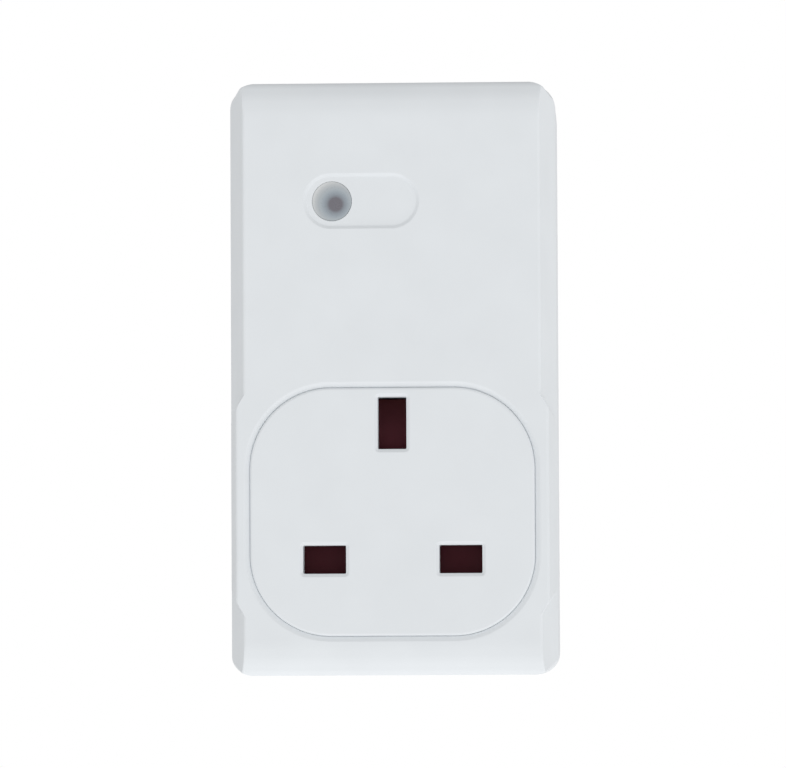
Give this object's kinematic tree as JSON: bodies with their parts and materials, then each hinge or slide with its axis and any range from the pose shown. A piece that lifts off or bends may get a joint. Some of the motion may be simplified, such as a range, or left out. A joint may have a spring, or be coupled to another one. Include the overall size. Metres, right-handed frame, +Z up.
{
  "type": "smart plug",
  "caption": "White plug-through smart plug: shuttered rectangular-pin socket and round button in front, sleeved plug pins behind, relay and control boards inside a split housing.",
  "frame": {"origin": "on the rear seating plane, midway between the earth pin and the line of the line and neutral pins", "axes": "+Y points out of the rear face, into the wall socket; +Z points up, towards the earth pin; +X points right as seen from the front, so the front face looks along -Y"},
  "size_m": [0.0538, 0.0597, 0.097],
  "materials": {
    "white_abs": "fine moulded satin",
    "button_lens": "frosted translucent",
    "shutter_plastic": "smooth moulded, dark maroon",
    "black_plastic": "moulded satin",
    "cream_plastic": "moulded satin",
    "brass": "stamped, lightly brushed",
    "copper": "drawn copper alloy",
    "steel": "zinc plated",
    "board": "solder mask over glass laminate",
    "ferrite": "sintered, fine grained",
    "winding_tape": "yellow insulating tape",
    "film_case": "moulded capacitor case",
    "capacitor_sleeve": "shrunk film sleeve",
    "varistor_epoxy": "dipped epoxy",
    "relay_case": "moulded relay case",
    "led_lens": "clear epoxy over phosphor",
    "label_film": "blank printed film"
  },
  "bodies": {
    "housing": {"front_cover": "white_abs", "rear_cover": "white_abs", "socket_face": "white_abs", "rating_label": "label_film", "shutter_spring": "steel", "contact_block": "black_plastic", "live_contact": "brass", "neutral_contact": "brass", "earth_contact": "brass", "live_pin": "brass", "neutral_pin": "brass", "earth_pin": "brass", "live_pin_sleeve": "black_plastic", "neutral_pin_sleeve": "black_plastic", "pin_retainer": "black_plastic", "earth_link": "brass", "neutral_link": "brass", "live_in_link": "brass", "live_out_link": "brass", "main_board": "board", "film_capacitor": "film_case", "bulk_capacitors": "capacitor_sleeve", "varistor": "varistor_epoxy", "fuse": "cream_plastic", "bridge_rectifier": "black_plastic", "driver_chip": "black_plastic", "current_shunt": "copper", "transformer_core": "ferrite", "transformer_winding": "winding_tape", "transformer_base": "black_plastic", "header_pins": "brass", "header_strip": "black_plastic", "relay_base": "black_plastic", "relay_cover": "relay_case", "relay_yoke": "steel", "relay_core": "steel", "relay_bobbin": "cream_plastic", "relay_winding": "copper", "relay_fixed_contact": "copper", "control_board": "board", "radio_shield": "steel", "antenna": "brass", "tact_switch": "black_plastic", "status_led": "led_lens", "case_screws": "steel", "block_screws": "steel", "retainer_screws": "steel", "board_screws": "steel", "control_board_screws": "steel"},
    "button": {"push_button": "button_lens"},
    "plunger": {"switch_plunger": "cream_plastic"},
    "shutter": {"shutter": "shutter_plastic"},
    "armature": {"relay_armature": "steel", "relay_moving_contact": "copper"}
  },
  "joints": [
    {"name": "button_press", "type": "slide", "parent": "housing", "child": "button", "axis": [0, 1, 0], "range_m": [0, 0.0004], "stiffness_N_per_m": 600, "springref_m": -0.0004},
    {"name": "plunger_travel", "type": "slide", "parent": "housing", "child": "plunger", "axis": [0, 1, 0], "range_m": [0, 0.0004]},
    {"name": "shutter_slide", "type": "slide", "parent": "housing", "child": "shutter", "axis": [0, 0, -1], "range_m": [0, 0.0088], "stiffness_N_per_m": 120, "springref_m": -0.004, "deforming": ["shutter_spring"]},
    {"name": "armature_tilt", "type": "hinge", "parent": "housing", "child": "armature", "pos_m": [0.0128, -0.0208, 0.0288], "axis": [-1, 0, 0], "range_deg": [0, 4.3], "stiffness_Nm_per_rad": 0.01, "springref_deg": -8.59}
  ],
  "couplings": [
    {"joint": "plunger_travel", "follows": "button_press", "ratio": 1}
  ]
}
